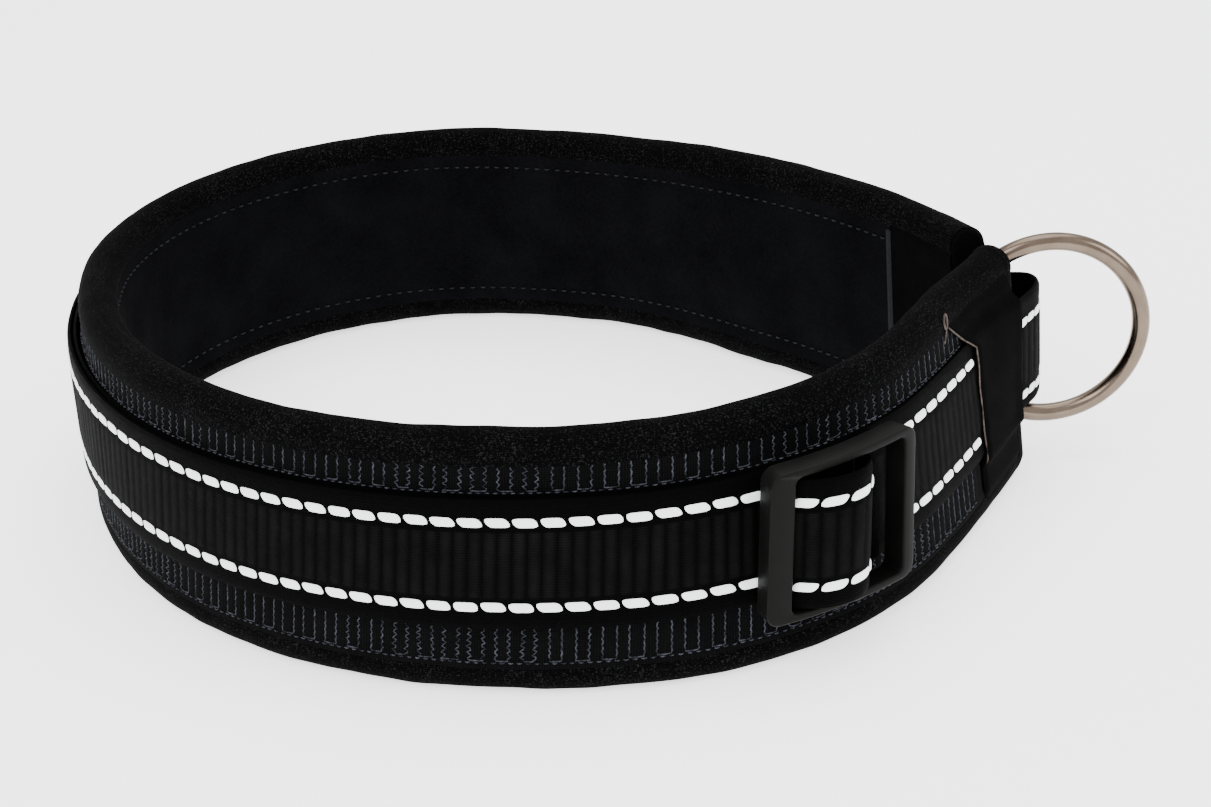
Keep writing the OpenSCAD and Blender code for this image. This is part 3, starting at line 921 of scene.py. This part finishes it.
def slider(material):
    """One bevelled moulding with a flat centre bar."""
    shift = (LEFT_BAR - RIGHT_BAR) / 2
    outer = lambda inset: rounded_outline(SLIDER_LONG - 2 * inset, SLIDER_TALL - 2 * inset,
                                          2.6 - 0.6 * inset)
    inner = lambda inset: rounded_outline(SLIDER_LONG - LEFT_BAR - RIGHT_BAR + 2 * inset,
                                          WINDOW_TALL + 2 * inset, 1.4 + inset * 0.5, shift)
    t = SLIDER_THICK
    rings = [(outer(0.5), 0.0), (outer(0.12), 0.12), (outer(0), 0.5), (outer(0), t - 0.5),
             (outer(0.06), t - 0.2), (outer(0.2), t - 0.05), (outer(0.36), t), (inner(0.36), t),
             (inner(0.2), t - 0.05), (inner(0.06), t - 0.2), (inner(0), t - 0.5), (inner(0), 0.5),
             (inner(0.3), 0.0)]
    n = len(rings[0][0])
    run = np.stack([ring[:, 0] for ring, _ in rings])
    z = np.stack([ring[:, 1] for ring, _ in rings]) + WEB_Z
    lift = np.repeat([h for _, h in rings], n).reshape(len(rings), n)
    points = slider_bed(SLIDER_IN)(run, lift, z).reshape(-1, 3)
    frame_part = (points, lattice(len(rings), n, True, True), np.stack([run, z], -1))
    bar_run = BAR_AT + np.array([-1, -0.8, 0.8, 1]) * BAR_WIDE / 2
    bar_z = np.linspace(WEB_Z - WINDOW_TALL / 2 - 0.6, WEB_Z + WINDOW_TALL / 2 + 0.6, 12)
    bar = slab(slider_bed(SLIDER_IN + BAR_LIFT), bar_run, bar_z,
               np.array([1.4, BAR_THICK, BAR_THICK, 1.4])[:, None], np.array([0.4, 0, 0, 0.4])[:, None])
    made = build("slider_moulding", joined([frame_part, bar]), material, 50)
    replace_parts(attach(made, "slider"), "slider_frame")


def slider_webbing(material, white):
    """The webbing's folded end round the centre bar, and the strap that runs over it."""
    turn = np.linspace(math.pi / 2, -math.pi / 2, 9)
    half = BAR_THICK / 2 + WEB_T / 2 + 0.1
    right = BAR_AT + BAR_WIDE / 2 - half + WEB_T / 2 + 0.2
    centre_line = np.concatenate([
        np.stack([np.linspace(BAR_AT - 4, right, 7), np.full(7, half)], -1),
        np.stack([right + half * np.cos(turn), half * np.sin(turn)], -1)[1:-1],
        np.stack([np.linspace(right, BAR_AT - 4, 7), np.full(7, -half)], -1)])
    way = directions(centre_line)
    side = np.stack([-way[:, 1], way[:, 0]], -1)
    mid_lift = BAR_LIFT + BAR_THICK / 2

    def fold_bed(run, lift, z):
        run, lift, z = matched(run, lift, z)
        keys = np.arange(len(centre_line))
        u, h, su, sh = (np.interp(run, keys, v) for v in (*centre_line.T, *side.T))
        off = lift - WEB_T / 2
        return slider_bed(SLIDER_IN + mid_lift)(u + su * off, h + sh * off, z)

    made = build("slider_fold_webbing", slab(fold_bed, np.arange(len(centre_line)),
                                             np.linspace(WEB_LO, WEB_HI, 16), WEB_T, 0.0),
                 material, 50)
    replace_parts(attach(made, "slider"), "slider_strap_fold")

    length, line = spline([(-12, 0.2), (-10.6, 2.2), (-9, 3.8), (-6.8, 5.5), (-4.2, 6.6), (-0.8, 7.0),
                           (1.8, 6.4), (3.6, 4.9), (4.6, 2.8), (4.9, 0.3)], 160)
    way = directions(line)

    def wrap_bed(run, lift, z):
        run, lift, z = matched(run, lift, z)
        u, h, wu, wh = (np.interp(run, length, v) for v in (*line.T, *way.T))
        return slider_bed(SLIDER_IN)(u - wh * lift, h + wu * lift, z)

    made = strap("slider_wrap_webbing", wrap_bed, 0.3, length[-1], material, 54, 0.3)
    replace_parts(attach(made, "slider"), "slider_strap_wrap")
    rows = rows_on(face_of(wrap_bed), 2.5, length[-1] - 0.9)
    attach(build("reflective_rows_wrap", rows, white, 60), "slider")


# ---------------------------------------------------------------- leash ring
def leash_ring():
    low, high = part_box("leash_ring")
    hang = Vector((0.5, 0, -0.5))    # it hangs a little past its CAD place in the soft webbing
    centre = (low + high) / 2 / MM + hang
    wire = (high.y - low.y) / 2 / MM
    major = (high.x - low.x) / 2 / MM - wire
    stations, sides, weld_at = 160, 24, 4.1
    turn = np.linspace(0, 2 * math.pi, stations, endpoint=False)
    round_ = np.linspace(0, 2 * math.pi, sides, endpoint=False)
    weld = np.exp(-((turn - weld_at) / 0.035) ** 2) * 0.14
    waist = np.exp(-((np.abs(turn - weld_at) - 0.09) / 0.03) ** 2) * -0.05
    radius = wire - 0.02 + (weld + waist)[:, None] * (0.6 + 0.4 * np.sin(round_ * 3))
    reach = major + radius * np.cos(round_)
    points = np.stack([centre.x + reach * np.cos(turn)[:, None], centre.y + radius * np.sin(round_),
                       centre.z + reach * np.sin(turn)[:, None]], -1)
    run = np.stack(np.broadcast_arrays(turn[:, None] * major, round_ * wire), -1)
    made = piece("nickel_leash_ring", points, lattice(stations, sides, True, True),
                 satin_nickel(centre.x), run, sharp=80)
    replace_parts(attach(made, "ring"), "leash_ring")


# ---------------------------------------------------------------- studio
def studio():
    floor = bpy.data.meshes.new("studio_floor")
    reach = 6.0
    corners = ((-1, -1), (1, -1), (1, 1), (-1, 1))
    floor.from_pydata([(x * reach, y * reach, -0.0003) for x, y in corners], [], [(0, 1, 2, 3)])
    white = Finish("pale_floor", Roughness=0.9, Specular_IOR_Level=0.1, Emission_Strength=1.5,
                   Emission_Color=(1, 1, 1, 1))
    white.colour(white.grain(300.0, 1.0), (0.92, 0.92, 0.92), (0.94, 0.94, 0.94))
    floor.materials.append(white.material)
    ground = bpy.data.objects.new("studio_floor", floor)
    bpy.context.scene.collection.objects.link(ground)

    world = bpy.data.worlds.new("studio")
    world.use_nodes = True
    world.node_tree.nodes["Background"].inputs["Color"].default_value = (1, 1, 1, 1)
    world.node_tree.nodes["Background"].inputs["Strength"].default_value = 1.55
    bpy.context.scene.world = world

    for name, place_of, size, power in (("key_light", (-0.5, -0.7, 0.9), 0.7, 9),
                                        ("top_light", (0.1, 0.2, 1.0), 0.9, 8),
                                        ("side_light", (0.9, -0.3, 0.5), 0.5, 4)):
        light = bpy.data.lights.new(name, "AREA")
        light.energy, light.size = power, size
        lamp = bpy.data.objects.new(name, light)
        lamp.location = place_of
        lamp.rotation_euler = (-Vector(place_of)).to_track_quat("-Z", "Y").to_euler()
        bpy.context.scene.collection.objects.link(lamp)


def camera():
    """Looks down on the collar from the front, rolled a little so that the ring side rides high."""
    tilt, roll = math.radians(25.0), math.radians(4.83)
    distance = 0.4997        # metres
    aim_x, aim_y, aim_z = FOLD[0] + 108.85, FOLD[1] - 46.9, 26.0
    aim = Vector((aim_x * MM, aim_y * MM, aim_z * MM))
    data = bpy.data.cameras.new("camera")
    data.lens, data.sensor_width = 72.8, 36.0
    data.clip_start, data.clip_end = 0.01, 50
    made = bpy.data.objects.new("camera", data)
    bpy.context.scene.collection.objects.link(made)
    back = Vector((0, -math.cos(tilt), math.sin(tilt)))
    lift = Vector((0, math.sin(tilt), math.cos(tilt)))
    side = Vector((1, 0, 0))
    right = side * math.cos(roll) - lift * math.sin(roll)
    up = side * math.sin(roll) + lift * math.cos(roll)
    turn = Matrix((right, up, back)).transposed()
    made.matrix_world = Matrix.Translation(aim + back * distance) @ turn.to_4x4()
    bpy.context.scene.camera = made


camera()
studio()

knit, face_cloth, lining = edge_knit(), facing_cloth(), lining_cloth()
black_web, white_yarn, end_black = webbing(), reflective_yarn(), binding_cloth()
blue_thread = sewing_thread("blue_grey_thread", (0.004, 0.0045, 0.006), (0.060, 0.064, 0.082))
grey_thread = sewing_thread("grey_lining_thread", (0.005, 0.0055, 0.006), (0.018, 0.019, 0.022))
light_thread = sewing_thread("light_seam_thread", (0.030, 0.022, 0.020), (0.115, 0.088, 0.075))

foam_core(foam_block())
rolled_edge("top_rolled_edge", BAND_H - HALF_T, True, knit,
            ("top_edge_roll_front", "top_edge_roll_back"))
rolled_edge("foot_rolled_edge", HALF_T, False, knit,
            ("bottom_edge_roll_front", "bottom_edge_roll_back"))
outer_facing(face_cloth)
coverstitch(blue_thread)
inner_lining(lining, grey_thread)
for side in ("front", "back"):
    end_cloth(side, end_black, pale_selvedge())
    end_keeper(side, end_black)
tail_keeper(black_web)
seam_thread(light_thread)
straps(black_web, white_yarn)
control_loop(black_web, white_yarn)
slider(moulded_plastic())
slider_webbing(black_web, white_yarn)
leash_ring()
